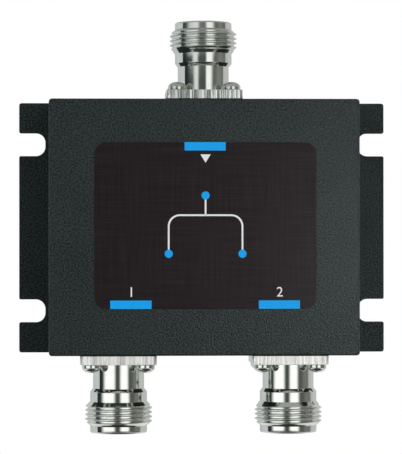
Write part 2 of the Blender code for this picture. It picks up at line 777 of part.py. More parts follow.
def build():
    start_clean()
    parts = collection("rf_power_splitter")
    cutters = collection("cutters")
    surfaces = {
        "powder_coat": material("powder_coat", (0.022, 0.028, 0.028), 0.6, 0.0),
        "label_film": material("label_film", (0.018, 0.014, 0.015), 0.4, 0.0),
        "nickel": material("nickel", (0.72, 0.71, 0.67), 0.18, 1.0),
        "steel": material("steel", (0.62, 0.61, 0.58), 0.25, 1.0),
        "white_plastic": material("white_plastic", (0.85, 0.85, 0.82), 0.45, 0.0),
        "gold": material("gold", (0.83, 0.6, 0.25), 0.2, 1.0),
        "laminate": material("laminate", (0.75, 0.72, 0.62), 0.6, 0.0),
        "copper": material("copper", (0.8, 0.45, 0.3), 0.3, 1.0),
        "black_ceramic": material("black_ceramic", (0.03, 0.03, 0.03), 0.5, 0.0),
    }
    ports = port_frames(parts)
    rear_plate(parts, cutters, surfaces["powder_coat"])
    housing(parts, cutters, ports, surfaces["powder_coat"])
    front_label(parts, surfaces["label_film"])
    sockets(parts, cutters, ports, surfaces)
    cover_screws(parts, cutters, surfaces["steel"])
    circuit_board(parts, cutters, surfaces["laminate"])
    board_screws(parts, cutters, surfaces["steel"])
    divider_track(parts, surfaces["copper"])
    isolation_resistors(parts, surfaces["black_ceramic"])


build()
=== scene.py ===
"""Looks of the coaxial power splitter.

The box keeps its solid and gets a powder coat, as does a mounting plate with finer notches, whose coat
is painted a little darker as painted shade for its ears beside the box.
The sockets get a cut thread and fine turning marks, the screws get round heads with a cross
recess, and the label gets its print. A white studio with reflecting cards stands around them.
"""

import json
import math

import bmesh
import bpy
import numpy as np
from mathutils import Matrix, Vector

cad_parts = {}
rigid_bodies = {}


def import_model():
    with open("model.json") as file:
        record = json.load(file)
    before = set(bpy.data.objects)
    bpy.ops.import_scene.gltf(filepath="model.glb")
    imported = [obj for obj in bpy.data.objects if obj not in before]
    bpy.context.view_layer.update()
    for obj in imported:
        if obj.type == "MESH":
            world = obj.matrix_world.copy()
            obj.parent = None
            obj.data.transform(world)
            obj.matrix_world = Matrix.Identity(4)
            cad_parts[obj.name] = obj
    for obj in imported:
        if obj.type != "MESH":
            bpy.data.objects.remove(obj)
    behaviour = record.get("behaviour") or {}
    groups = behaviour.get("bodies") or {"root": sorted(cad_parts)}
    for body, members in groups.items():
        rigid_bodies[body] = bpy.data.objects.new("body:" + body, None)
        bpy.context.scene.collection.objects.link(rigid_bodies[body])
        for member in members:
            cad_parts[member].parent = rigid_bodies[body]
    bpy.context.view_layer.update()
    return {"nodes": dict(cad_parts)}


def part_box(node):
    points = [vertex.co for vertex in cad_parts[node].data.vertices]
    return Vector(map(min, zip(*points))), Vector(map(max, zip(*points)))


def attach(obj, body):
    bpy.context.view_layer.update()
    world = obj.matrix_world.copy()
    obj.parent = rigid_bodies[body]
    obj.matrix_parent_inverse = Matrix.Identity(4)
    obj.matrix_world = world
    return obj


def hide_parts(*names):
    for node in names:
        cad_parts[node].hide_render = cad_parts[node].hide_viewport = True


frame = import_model()

MM = 0.001
PORTS = ("input", "output_1", "output_2")
COVER_SCREWS = [f"cover_screw_{number}" for number in range(1, 9)]

# How far a cutting tool reaches past a face, how close two heights count as one,
# and how close two points are welded
PAST = 1.0 * MM
NEAR = 0.02 * MM
WELD = 0.001 * MM

# Socket shell, in heights above the seat of its flange
FLANGE_SIZE = 17.9 * MM
FLANGE_THICKNESS = 2.1 * MM
FLANGE_CORNER = 1.0 * MM
FLANGE_EDGE = 0.12 * MM
FLANGE_HOLE_SPACING = 12.7 * MM
FLANGE_HOLE_RADIUS = 1.45 * MM
BARREL_RADIUS = 6.04 * MM
BARREL_TOP = 7.9 * MM
COLLAR_RADIUS = 6.715 * MM
COLLAR_BOTTOM = 8.7 * MM
COLLAR_TOP = 11.0 * MM
RIM_LAND_BOTTOM = 16.7 * MM
RIM_ROUND = 0.4 * MM
SHELL_TOP = 18.4 * MM
MOUTH_RADIUS = 4.3 * MM
MOUTH_CHAMFER = 0.3 * MM
REFERENCE_HEIGHT = 9.3 * MM
LINE_RADIUS = 3.5 * MM
SMALL_ROUND = 0.08 * MM

# Thread on the shell, with the lengths of the cones at its ends and the height of its first crest
THREAD_RADIUS = 7.9 * MM
THREAD_ROOT_RADIUS = 7.327 * MM
THREAD_PITCH = 1.058 * MM
LOWER_CONE = {"input": 1.6 * MM, "output_1": 1.25 * MM, "output_2": 1.6 * MM}
UPPER_CONE = 0.95 * MM
THREAD_CREST_SHARE = 0.20
THREAD_ROOT_SHARE = 0.32
THREAD_ROW = 0.055 * MM
FIRST_CREST = {"input": 12.57 * MM, "output_1": 13.10 * MM, "output_2": 13.10 * MM}

# Socket insulator and centre contact
INSULATOR_RADIUS = 3.43 * MM
INSULATOR_TAIL_RADIUS = 2.05 * MM
END_WALL = 5.7 * MM
CONTACT_RADIUS = 1.52 * MM
CONTACT_TOP = 13.9 * MM
CONTACT_SHOULDER = 2.4 * MM
CONTACT_TIP_CHAMFER = 0.25 * MM
CONTACT_BORE_RADIUS = 0.83 * MM
CONTACT_BORE_DEPTH = 4.2 * MM
CONTACT_SLOT = 0.3 * MM
CONTACT_SLOT_DEPTH = 3.6 * MM
CONTACT_CLEARANCE = 0.06 * MM
PIN_RADIUS = 0.635 * MM
PIN_REACH = 2.6 * MM

# Screws, their turns in degrees
PAN_HEAD_RADIUS = 2.15 * MM
PAN_HEAD_HEIGHT = 1.9 * MM
PAN_SCREW_RADIUS = 1.25 * MM
PAN_SCREW_LENGTH = 5.6 * MM
PAN_RIM_SHARE = 0.30
PAN_DOME_STEPS = 12
PAN_RECESS_SPAN = 2.3 * MM
PAN_RECESS_DEPTH = 1.0 * MM
COVER_HEAD_RADIUS = 2.3 * MM
COVER_HEAD_RIM = 0.15 * MM
COVER_SCREW_RADIUS = 1.25 * MM
COVER_SCREW_LENGTH = 6.28 * MM
COVER_RECESS_SPAN = 2.5 * MM
COVER_RECESS_DEPTH = 1.0 * MM
RECESS_WIDTH_SHARE = 0.24
RECESS_TAPER = 0.62
FIRST_SCREW_TURN = 25.0
SCREW_TURN_STEP = 40.0

# Mounting plate
PLATE_CORNER = 0.6 * MM
PLATE_EDGE = 0.25 * MM
NOTCH_WIDTH = 5.5 * MM
NOTCH_DEPTH = 6.3 * MM
NOTCH_CORNER = 2.3 * MM
NOTCH_MOUTH_CORNER = 0.4 * MM
NOTCH_HEIGHT = 20.0 * MM
SINK_DEPTH = 0.12 * MM
SINK_CLEARANCE = 0.08 * MM

# Label print, in the label's plane and about its middle
LABEL_CORNER = 2.8 * MM
LABEL_EDGE = 0.06 * MM
INK_THICKNESS = 0.012 * MM
BAR_WIDTH = 9.6 * MM
BAR_HEIGHT = 1.95 * MM
OUTPUT_BAR_OFFSET = 17.31 * MM
BAR_SHIFT = -0.1 * MM
MARK_SIZE = 2.4 * MM
MARK_GAP = 0.9 * MM
ARROW_HEIGHT = 0.8 * MARK_SIZE
DIGIT_SIZE = 1.35 * MARK_SIZE

# Sketch in the middle of the label
SKETCH_LINE = 0.42 * MM
SKETCH_TOP = 7.0 * MM
SKETCH_SPLIT = 2.4 * MM
SKETCH_END = -6.6 * MM
SKETCH_REACH = 8.6 * MM
SKETCH_BEND = 2.6 * MM
DOT_RADIUS = 0.95 * MM
DOT_SIDES = 24

# Sides of round shapes, and the angle in degrees from which an edge is sharp
SHELL_SIDES = 128
BORE_SIDES = 96
SCREW_SIDES = 64
CONTACT_SIDES = 48
SMALL_STEPS = 4
SHARP_ANGLE = 30.0

# Camera, with its lens and sensor in millimetres and its roll in degrees
CAMERA_PLACE = (-0.01915, -0.5355, -0.00324)
CAMERA_AIM = (-0.00023, -0.002, 0.00016)
CAMERA_LENS = 175.5
CAMERA_SENSOR = 36.0
CAMERA_ROLL = -0.04

# Light of the surroundings, which drops to a share of itself from below: AMBIENT_RISE says
# between which heights of a direction it rises to the full light
AMBIENT_AROUND = 0.27
AMBIENT_FRONT = 0.61
AMBIENT_BELOW = 0.20
AMBIENT_RISE = (-0.30, 0.05)

# Floor
FLOOR_LEVEL = -0.90
FLOOR_REACH = 6.0
FLOOR_THICKNESS = 0.01

# Cards: their distance, the step of their rows in degrees, and the tints of their dim
# stretches, cold left of one direction and warm right of another
CARD_DISTANCE = 0.50
CARD_STEP = 2.0
COLD = (0.76, 1.0, 1.04)
MILD = (0.88, 1.0, 0.97)
WARM = (0.94, 1.0, 0.90)
COLD_UNTIL = -45
WARM_FROM = 15

# Close light on the right that makes the coat's sheen, its power in watts
SHEEN_PLACE = (0.070, -0.100, -0.012)
SHEEN_AIM = (0.03, -0.02, -0.006)
SHEEN_SIZE = 0.04
SHEEN_POWER = 0.10

scratch = bpy.data.collections.new("scratch")
bpy.context.scene.collection.children.link(scratch)


# Node helpers

def new_material(name):
    """A material with its Principled shader, ready for more nodes."""
    made = bpy.data.materials.new(name)
    made.use_nodes = True
    return made, made.node_tree, made.node_tree.nodes["Principled BSDF"]


def object_coordinates(tree, scale=(1.0, 1.0, 1.0)):
    """Object coordinates stretched by a scale."""
    source = tree.nodes.new("ShaderNodeTexCoord")
    mapping = tree.nodes.new("ShaderNodeMapping")
    mapping.inputs["Scale"].default_value = scale
    tree.links.new(source.outputs["Object"], mapping.inputs["Vector"])
    return mapping.outputs["Vector"]


def noise(tree, vector, scale, detail=3.0, roughness=0.5):
    """Value of a noise texture."""
    node = tree.nodes.new("ShaderNodeTexNoise")
    node.inputs["Scale"].default_value = scale
    node.inputs["Detail"].default_value = detail
    node.inputs["Roughness"].default_value = roughness
    tree.links.new(vector, node.inputs["Vector"])
    return node.outputs["Fac"]


def ramp(tree, value, low, high, low_colour, high_colour):
    """Colour that goes from one to another as a value goes from low to high."""
    node = tree.nodes.new("ShaderNodeValToRGB")
    node.color_ramp.elements[0].position = low
    node.color_ramp.elements[1].position = high
    node.color_ramp.elements[0].color = (*low_colour, 1.0)
    node.color_ramp.elements[1].color = (*high_colour, 1.0)
    tree.links.new(value, node.inputs["Fac"])
    return node.outputs["Color"]


def spread(tree, value, low, high):
    """A value between 0 and 1 moved to lie between low and high."""
    node = tree.nodes.new("ShaderNodeMapRange")
    node.inputs["To Min"].default_value = low
    node.inputs["To Max"].default_value = high
    tree.links.new(value, node.inputs["Value"])
    return node.outputs["Result"]


def combined(tree, first, second, operation):
    """Two values added, multiplied or compared."""
    node = tree.nodes.new("ShaderNodeMath")
    node.operation = operation
    for socket, value in zip(node.inputs, (first, second)):
        if isinstance(value, float):
            socket.default_value = value
        else:
            tree.links.new(value, socket)
    return node.outputs["Value"]


def weighted(tree, first, share, second):
    """A share of one value plus the rest of another."""
    start = combined(tree, first, share, "MULTIPLY")
    rest = combined(tree, second, 1.0 - share, "MULTIPLY")
    return combined(tree, start, rest, "ADD")


def bump(tree, shader, height, distance, strength):
    """Relief on the surface from a height."""
    node = tree.nodes.new("ShaderNodeBump")
    node.inputs["Distance"].default_value = distance
    node.inputs["Strength"].default_value = strength
    tree.links.new(height, node.inputs["Height"])
    tree.links.new(node.outputs["Normal"], shader.inputs["Normal"])


# Materials

def shades(colour):
    """A slightly darker and a slightly lighter shade of a colour."""
    return [0.94 * part for part in colour], [min(1.0, 1.04 * part) for part in colour]


def powder_coat(name, depth, shine):
    """Dark grey-green coat with a fine sandy grain, its colour multiplied by a depth; a depth below 1
    paints shade into the colour.
    """
    made, tree, shader = new_material(name)
    place = object_coordinates(tree)
    grain = noise(tree, place, scale=2500.0, detail=1.5, roughness=0.6)
    cloud = noise(tree, place, scale=60.0)
    both = weighted(tree, grain, 0.9, cloud)
    low = [depth * part for part in (0.0012, 0.0026, 0.0026)]
    high = [depth * part for part in (0.0258, 0.0378, 0.0378)]
    tree.links.new(ramp(tree, both, 0.37, 0.63, low, high), shader.inputs["Base Color"])
    tree.links.new(spread(tree, grain, low=0.42, high=0.58), shader.inputs["Roughness"])
    shader.inputs["Specular IOR Level"].default_value = shine
    bump(tree, shader, grain, distance=0.2 * MM, strength=1.0)
    return made


def label_film():
    """Near-black film with a fine weave of lines both ways."""
    made, tree, shader = new_material("label_film")
    across = object_coordinates(tree, (60.0, 1.0, 3600.0))
    upward = object_coordinates(tree, (3600.0, 1.0, 60.0))
    weft = noise(tree, across, scale=1.0, detail=2.0, roughness=0.6)
    warp = noise(tree, upward, scale=1.0, detail=2.0, roughness=0.6)
    weave = weighted(tree, weft, 0.5, warp)
    colour = ramp(tree, weave, 0.32, 0.68, (0.0065, 0.0036, 0.0042), (0.0210, 0.0165, 0.0175))
    tree.links.new(colour, shader.inputs["Base Color"])
    tree.links.new(spread(tree, weave, low=0.36, high=0.50), shader.inputs["Roughness"])
    shader.inputs["Specular IOR Level"].default_value = 0.09
    bump(tree, shader, weave, distance=0.03 * MM, strength=0.8)
    return made


def ink(name, colour):
    """Printed ink with a slight unevenness."""
    made, tree, shader = new_material(name)
    uneven = noise(tree, object_coordinates(tree), scale=1800.0, detail=2.0)
    tree.links.new(ramp(tree, uneven, 0.2, 0.8, *shades(colour)), shader.inputs["Base Color"])
    shader.inputs["Roughness"].default_value = 0.50
    shader.inputs["Specular IOR Level"].default_value = 0.06
    return made


def nickel(name, colour, roughness, marks, relief, streaks=0.0):
    """Bright plated metal whose fine tool marks run one way, and may be darker streaks as well."""
    made, tree, shader = new_material(name)
    lines = noise(tree, object_coordinates(tree, marks), scale=1.0, roughness=0.6)
    if streaks:
        dark = [(1.0 - streaks) * part for part in colour]
        shade = ramp(tree, lines, 0.36, 0.54, dark, colour)
    else:
        cloud = noise(tree, object_coordinates(tree), scale=350.0)
        shade = ramp(tree, cloud, 0.25, 0.75, *shades(colour))
    tree.links.new(shade, shader.inputs["Base Color"])
    uneven = spread(tree, lines, low=0.7 * roughness, high=1.3 * roughness)
    tree.links.new(uneven, shader.inputs["Roughness"])
    shader.inputs["Metallic"].default_value = 1.0
    bump(tree, shader, lines, distance=relief, strength=0.6)
    return made


def dull(name, low_colour, high_colour, roughness, scale):
    """Plastic, laminate or ceramic with a mottled colour."""
    made, tree, shader = new_material(name)
    mottle = noise(tree, object_coordinates(tree), scale, roughness=0.55)
    tree.links.new(ramp(tree, mottle, 0.3, 0.7, low_colour, high_colour), shader.inputs["Base Color"])
    uneven = spread(tree, mottle, low=0.85 * roughness, high=1.15 * roughness)
    tree.links.new(uneven, shader.inputs["Roughness"])
    bump(tree, shader, mottle, distance=0.01 * MM, strength=0.4)
    return made


COAT = powder_coat("powder_coat", depth=1.0, shine=0.18)
# The plate's coat is the box's coat painted darker, a painted shade for the shade on the plate's ears
# beside the box, and with less shine
SHADED_PLATE_COAT = powder_coat("powder_coat_plate_shaded", depth=0.92, shine=0.09)
FILM = label_film()
BLUE = ink("port_blue", (0.008, 0.385, 0.93))
WHITE = ink("mark_white", (0.86, 0.86, 0.86))

# Metals: colour, roughness, tool marks to a metre along X, Y and Z, and the marks' relief
CUT_MARKS = (700.0, 700.0, 25.0)
NICKEL_TURNED = nickel("nickel_turned", (0.585, 0.60, 0.57), 0.08, (40.0, 40.0, 9000.0), 0.0012 * MM)
# The three flange sides are one finish. Each socket's copy has its own brightness, painted for the
# light its flange sides show: a painted highlight, lighter than the other plated metal, and less so on
# the input. Their darker streaks are tool marks
NICKEL_FLANGE_INPUT_LIT = nickel("nickel_flange_input_lit", (0.77, 0.79, 0.76), 0.27, CUT_MARKS, 0.45 * MM, streaks=0.50)
NICKEL_FLANGE_OUTPUT_1_LIT = nickel("nickel_flange_output_1_lit", (0.97, 0.97, 0.93), 0.42, CUT_MARKS, 0.80 * MM, streaks=0.40)
NICKEL_FLANGE_OUTPUT_2_LIT = nickel("nickel_flange_output_2_lit", (0.98, 0.98, 0.94), 0.42, CUT_MARKS, 0.60 * MM, streaks=0.16)
NICKEL_FACED = nickel("nickel_faced", (0.62, 0.62, 0.58), 0.20, (900.0, 900.0, 900.0), 0.006 * MM)
NICKEL_THREAD = nickel("nickel_thread", (0.62, 0.64, 0.605), 0.12, (40.0, 40.0, 6000.0), 0.001 * MM)
SCREW_STEEL = nickel("screw_steel", (0.55, 0.575, 0.53), 0.15, (1500.0, 1500.0, 1500.0), 0.008 * MM)
GOLD = nickel("gold_plate", (0.83, 0.60, 0.25), 0.18, (60.0, 60.0, 6000.0), 0.003 * MM)
COPPER = nickel("copper_foil", (0.72, 0.42, 0.28), 0.32, (900.0, 900.0, 900.0), 0.004 * MM)
# Each socket's flange sides get the copy whose brightness is painted for that socket's light
FLANGE_SIDES = {"input": NICKEL_FLANGE_INPUT_LIT, "output_1": NICKEL_FLANGE_OUTPUT_1_LIT, "output_2": NICKEL_FLANGE_OUTPUT_2_LIT}

# Dull materials: the two colours of their mottle, roughness, and mottles to a metre
PLASTIC = dull("white_plastic", (0.80, 0.80, 0.77), (0.88, 0.88, 0.86), 0.42, 900.0)
LAMINATE = dull("laminate", (0.52, 0.49, 0.38), (0.66, 0.62, 0.50), 0.62, 1500.0)
CERAMIC = dull("black_ceramic", (0.012, 0.012, 0.012), (0.024, 0.024, 0.024), 0.45, 1200.0)


# Mesh helpers

def evaluated_mesh(source):
    """The mesh that an object's modifiers make."""
    bpy.context.view_layer.update()
    depsgraph = bpy.context.evaluated_depsgraph_get()
    return bpy.data.meshes.new_from_object(source.evaluated_get(depsgraph))


def scratch_object(name, mesh):
    """An object used only while a mesh is made."""
    made = bpy.data.objects.new(name, mesh)
    scratch.objects.link(made)
    return made


def mesh_from(shape, name):
    """A mesh from a shape, which is used up."""
    bmesh.ops.recalc_face_normals(shape, faces=shape.faces)
    mesh = bpy.data.meshes.new(name)
    shape.to_mesh(mesh)
    shape.free()
    return mesh


def turned(name, profile, sides):
    """A body turned around Z from (radius, height) points that run down its outer side."""
    shape = bmesh.new()
    corners = [shape.verts.new((radius, 0.0, height)) for radius, height in profile]
    for upper, lower in zip(corners, corners[1:]):
        shape.edges.new((upper, lower))
    made = scratch_object(name, mesh_from(shape, name))
    screw = made.modifiers.new("Turn", "SCREW")
    screw.axis = "Z"
    screw.angle = 2 * math.pi
    screw.steps = sides
    screw.render_steps = sides
    screw.use_merge_vertices = True
    screw.merge_threshold = WELD
    return made


def block(name, size, middle):
    """A box as an object."""
    shape = bmesh.new()
    place = Matrix.Translation(middle) @ Matrix.Diagonal((*size, 1.0))
    bmesh.ops.create_cube(shape, size=1.0, matrix=place)
    return scratch_object(name, mesh_from(shape, name))


def combine(target, tool, operation):
    """Cut or join one object with another."""
    modifier = target.modifiers.new(operation.title(), "BOOLEAN")
    modifier.operation = operation
    modifier.solver = "EXACT"
    modifier.object = tool


def finished_mesh(target, tools):
    """The evaluated mesh, smooth but for its sharp edges, with what made it removed."""
    mesh = evaluated_mesh(target)
    for tool in [target, *tools]:
        bpy.data.objects.remove(tool)
    mesh.shade_smooth()
    mesh.set_sharp_from_angle(angle=math.radians(SHARP_ANGLE))
    return mesh


def arc(centre_x, centre_y, radius, first, last, steps):
    """Points of an arc, with its angles in degrees."""
    points = []
    for step in range(steps + 1):
        angle = math.radians(first + (last - first) * step / steps)
        points.append((centre_x + radius * math.cos(angle), centre_y + radius * math.sin(angle)))
    return points


def rounded_rectangle(width, height, radius, steps):
    """The outline of a rectangle with round corners, counter-clockwise."""
    x = width / 2 - radius
    y = height / 2 - radius
    return (
        arc(x, -y, radius, -90, 0, steps)
        + arc(x, y, radius, 0, 90, steps)
        + arc(-x, y, radius, 90, 180, steps)
        + arc(-x, -y, radius, 180, 270, steps)
    )


def slab(name, outline, bottom, top, edge=0.0):
    """A flat outline raised from bottom to top, its upper and lower edges rounded."""
    shape = bmesh.new()
    face = shape.faces.new([shape.verts.new((x, y, bottom)) for x, y in outline])
    raised = bmesh.ops.extrude_face_region(shape, geom=[face])
    moved = [item for item in raised["geom"] if isinstance(item, bmesh.types.BMVert)]
    bmesh.ops.translate(shape, verts=moved, vec=(0.0, 0.0, top - bottom))
    bmesh.ops.recalc_face_normals(shape, faces=shape.faces)
    if edge:
        rims = [side for side in shape.edges if abs(side.verts[0].co.z - side.verts[1].co.z) < NEAR]
        bmesh.ops.bevel(shape, geom=rims, offset=edge, segments=2, profile=0.5, affect="EDGES")
    return mesh_from(shape, name)


def place_piece(name, mesh, matrix, nodes, surfaces):
    """Put a mesh in the frame as a piece that rides on the part and stands for its nodes."""
    for surface in surfaces:
        mesh.materials.append(surface)
    mesh.transform(matrix)
    piece = bpy.data.objects.new(name, mesh)
    bpy.context.scene.collection.objects.link(piece)
    normals = piece.modifiers.new("Even shading", "WEIGHTED_NORMAL")
    normals.keep_sharp = True
    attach(piece, "root")
    if nodes:
        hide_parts(*nodes)


def port_matrix(port):
    """From a socket's own frame, seat at 0 and Z outwards, to the part's frame."""
    low, high = (Vector(corner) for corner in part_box(port + "_shell"))
    middle = (low + high) / 2
    if middle.z > 0:
        return Matrix.Translation((middle.x, middle.y, low.z))
    return Matrix.Translation((middle.x, middle.y, high.z)) @ Matrix.Rotation(math.pi, 4, "Y")


def node_middle(node):
    """The middle of a node's box."""
    low, high = (Vector(corner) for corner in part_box(node))
    return (low + high) / 2


# Sockets

def shell_profile():
    """Half section of a shell's outside, with close rows where the thread is cut."""
    rows = round((RIM_LAND_BOTTOM - COLLAR_TOP) / THREAD_ROW)
    step = (RIM_LAND_BOTTOM - COLLAR_TOP) / rows
    rim = arc(COLLAR_RADIUS - RIM_ROUND, SHELL_TOP - RIM_ROUND, RIM_ROUND, 90, 0, SMALL_STEPS)
    thread = [(COLLAR_RADIUS, RIM_LAND_BOTTOM - row * step) for row in range(rows + 1)]
    return [
        (0.0, SHELL_TOP),
        *rim,
        *thread,
        (COLLAR_RADIUS, COLLAR_BOTTOM + SMALL_ROUND),
        (COLLAR_RADIUS - SMALL_ROUND / 2, COLLAR_BOTTOM),
        (BARREL_RADIUS, BARREL_TOP),
        (BARREL_RADIUS, FLANGE_THICKNESS / 2),
        (0.0, FLANGE_THICKNESS / 2),
    ]


def bore_profile():
    """Half section of the hollow in a shell."""
    return [
        (0.0, SHELL_TOP + PAST),
        (MOUTH_RADIUS + MOUTH_CHAMFER, SHELL_TOP + PAST),
        (MOUTH_RADIUS + MOUTH_CHAMFER, SHELL_TOP),
        (MOUTH_RADIUS, SHELL_TOP - MOUTH_CHAMFER),
        (MOUTH_RADIUS, REFERENCE_HEIGHT),
        (LINE_RADIUS, REFERENCE_HEIGHT),
        (LINE_RADIUS, -PAST),
        (0.0, -PAST),
    ]


def thread_radius(height, turn, first_crest, lower_cone):
    """Radius of the threaded length at a height, after a share of a turn around the axis."""
    along = (height - first_crest) / THREAD_PITCH - turn
    from_crest = np.abs((along + 0.5) % 1.0 - 0.5)
    flank = 0.5 - THREAD_ROOT_SHARE / 2 - THREAD_CREST_SHARE / 2
    lift = np.clip((0.5 - THREAD_ROOT_SHARE / 2 - from_crest) / flank, 0.0, 1.0)
    thread = THREAD_ROOT_RADIUS + (THREAD_RADIUS - THREAD_ROOT_RADIUS) * lift
    to_end = np.minimum((height - COLLAR_TOP) / lower_cone, (RIM_LAND_BOTTOM - height) / UPPER_CONE)
    cone = COLLAR_RADIUS + (THREAD_RADIUS - COLLAR_RADIUS) * np.clip(to_end, 0.0, 1.0)
    return np.minimum(thread, cone)


def cut_thread(mesh, first_crest, lower_cone):
    """Move the close rows of the shell out to the thread's helix."""
    places = np.empty(len(mesh.vertices) * 3)
    mesh.vertices.foreach_get("co", places)
    places = places.reshape(-1, 3)
    radius = np.hypot(places[:, 0], places[:, 1])
    height = places[:, 2]
    outside = (radius > (COLLAR_RADIUS + MOUTH_RADIUS) / 2) & (radius < COLLAR_RADIUS + SMALL_ROUND)
    threaded = outside & (height > COLLAR_TOP - NEAR) & (height < RIM_LAND_BOTTOM + NEAR)
    turn = np.arctan2(places[:, 1], places[:, 0]) / (2 * math.pi)
    grown = thread_radius(height, turn, first_crest, lower_cone) / np.maximum(radius, SMALL_ROUND)
    places[threaded, :2] *= grown[threaded, None]
    mesh.vertices.foreach_set("co", places.ravel())
    mesh.update()


def soften_thread(mesh):
    """Shade the close rows of the thread as one smooth surface."""
    low = COLLAR_TOP + NEAR
    high = RIM_LAND_BOTTOM - NEAR
    for side in mesh.edges:
        if all(low < mesh.vertices[corner].co.z < high for corner in side.vertices):
            side.use_edge_sharp = False


def flange_hole_places():
    """The middles of a flange's four holes."""
    half = FLANGE_HOLE_SPACING / 2
    return [(x, y) for x in (-half, half) for y in (-half, half)]


def shell_blank():
    """A shell without its thread: turned body, square flange, bore and four holes."""
    shell = turned("shell", shell_profile(), SHELL_SIDES)
    outline = rounded_rectangle(FLANGE_SIZE, FLANGE_SIZE, FLANGE_CORNER, 2 * SMALL_STEPS)
    flange = scratch_object("flange", slab("flange", outline, 0.0, FLANGE_THICKNESS, FLANGE_EDGE))
    bore = turned("bore", bore_profile(), BORE_SIDES)
    tools = [flange, bore]
    combine(shell, flange, "UNION")
    combine(shell, bore, "DIFFERENCE")
    for x, y in flange_hole_places():
        shape = bmesh.new()
        bmesh.ops.create_cone(
            shape, cap_ends=True, segments=SCREW_SIDES, radius1=FLANGE_HOLE_RADIUS,
            radius2=FLANGE_HOLE_RADIUS, depth=FLANGE_THICKNESS + 2 * PAST,
            matrix=Matrix.Translation((x, y, FLANGE_THICKNESS / 2)),
        )
        hole = scratch_object("hole", mesh_from(shape, "hole"))
        combine(shell, hole, "DIFFERENCE")
        tools.append(hole)
    return finished_mesh(shell, tools)


def choose_shell_faces(mesh):
    """Give the flange's sides, the flange's face and the thread their own tool marks: slots 1 to 3."""
    for face in mesh.polygons:
        middle = face.center
        reach = max(abs(middle.x), abs(middle.y))
        across = math.hypot(middle.x, middle.y)
        if middle.z < FLANGE_THICKNESS and reach > FLANGE_SIZE / 2 - FLANGE_CORNER / 2:
            face.material_index = 1
        elif middle.z < FLANGE_THICKNESS + SMALL_ROUND and across > BARREL_RADIUS:
            face.material_index = 2
        elif COLLAR_TOP < middle.z < RIM_LAND_BOTTOM and across > MOUTH_RADIUS + SMALL_ROUND:
            face.material_index = 3


def insulator():
    """The stepped sleeve between a shell and its contact."""
    sleeve = turned("insulator", [
        (0.0, REFERENCE_HEIGHT - SMALL_ROUND),
        (INSULATOR_RADIUS - SMALL_ROUND, REFERENCE_HEIGHT - SMALL_ROUND),
        (INSULATOR_RADIUS, REFERENCE_HEIGHT - 2 * SMALL_ROUND),
        (INSULATOR_RADIUS, SMALL_ROUND),
        (INSULATOR_TAIL_RADIUS, SMALL_ROUND),
        (INSULATOR_TAIL_RADIUS, -END_WALL),
        (0.0, -END_WALL),
    ], BORE_SIDES)
    contact_way = CONTACT_RADIUS + CONTACT_CLEARANCE
    pin_way = PIN_RADIUS + CONTACT_CLEARANCE
    bore = turned("insulator_bore", [
        (0.0, REFERENCE_HEIGHT + PAST),
        (contact_way, REFERENCE_HEIGHT + PAST),
        (contact_way, CONTACT_SHOULDER - SMALL_ROUND),
        (pin_way, CONTACT_SHOULDER - SMALL_ROUND),
        (pin_way, -END_WALL - PAST),
        (0.0, -END_WALL - PAST),
    ], CONTACT_SIDES)
    combine(sleeve, bore, "DIFFERENCE")
    return finished_mesh(sleeve, [bore])


def contact():
    """The centre contact: a slotted cup in front and a solder pin behind."""
    body = turned("contact", [
        (0.0, CONTACT_TOP),
        *arc(CONTACT_RADIUS - CONTACT_TIP_CHAMFER, CONTACT_TOP - CONTACT_TIP_CHAMFER,
             CONTACT_TIP_CHAMFER, 90, 0, SMALL_STEPS),
        (CONTACT_RADIUS, CONTACT_SHOULDER),
        (PIN_RADIUS, CONTACT_SHOULDER),
        (PIN_RADIUS, -END_WALL - PIN_REACH),
        (0.0, -END_WALL - PIN_REACH),
    ], CONTACT_SIDES)
    mouth = CONTACT_BORE_RADIUS + CONTACT_TIP_CHAMFER / 2
    bore = turned("contact_bore", [
        (0.0, CONTACT_TOP + PAST),
        (mouth, CONTACT_TOP + PAST),
        (mouth, CONTACT_TOP),
        (CONTACT_BORE_RADIUS, CONTACT_TOP - CONTACT_TIP_CHAMFER),
        (CONTACT_BORE_RADIUS, CONTACT_TOP - CONTACT_BORE_DEPTH),
        (0.0, CONTACT_TOP - CONTACT_BORE_DEPTH),
    ], CONTACT_SIDES)
    across = 2 * CONTACT_RADIUS + PAST
    height = CONTACT_SLOT_DEPTH + PAST
    middle = (0.0, 0.0, CONTACT_TOP + (PAST - CONTACT_SLOT_DEPTH) / 2)
    tools = [bore]
    for size in ((across, CONTACT_SLOT, height), (CONTACT_SLOT, across, height)):
        tools.append(block("contact_slot", size, middle))
    for tool in tools:
        combine(body, tool, "DIFFERENCE")
    return finished_mesh(body, tools)


# Screws

def cross_blades(top, span, depth):
    """Two tapered blades that cut a cross recess into a head."""
    blades = []
    for turn in (0.0, math.pi / 2):
        size = (span, span * RECESS_WIDTH_SHARE, depth + PAST)
        blade = block("recess", size, (0.0, 0.0, top + (PAST - depth) / 2))
        for corner in blade.data.vertices:
            if corner.co.z < top:
                corner.co.x *= RECESS_TAPER
                corner.co.y *= RECESS_TAPER
        blade.data.transform(Matrix.Rotation(turn, 4, "Z"))
        blades.append(blade)
    return blades


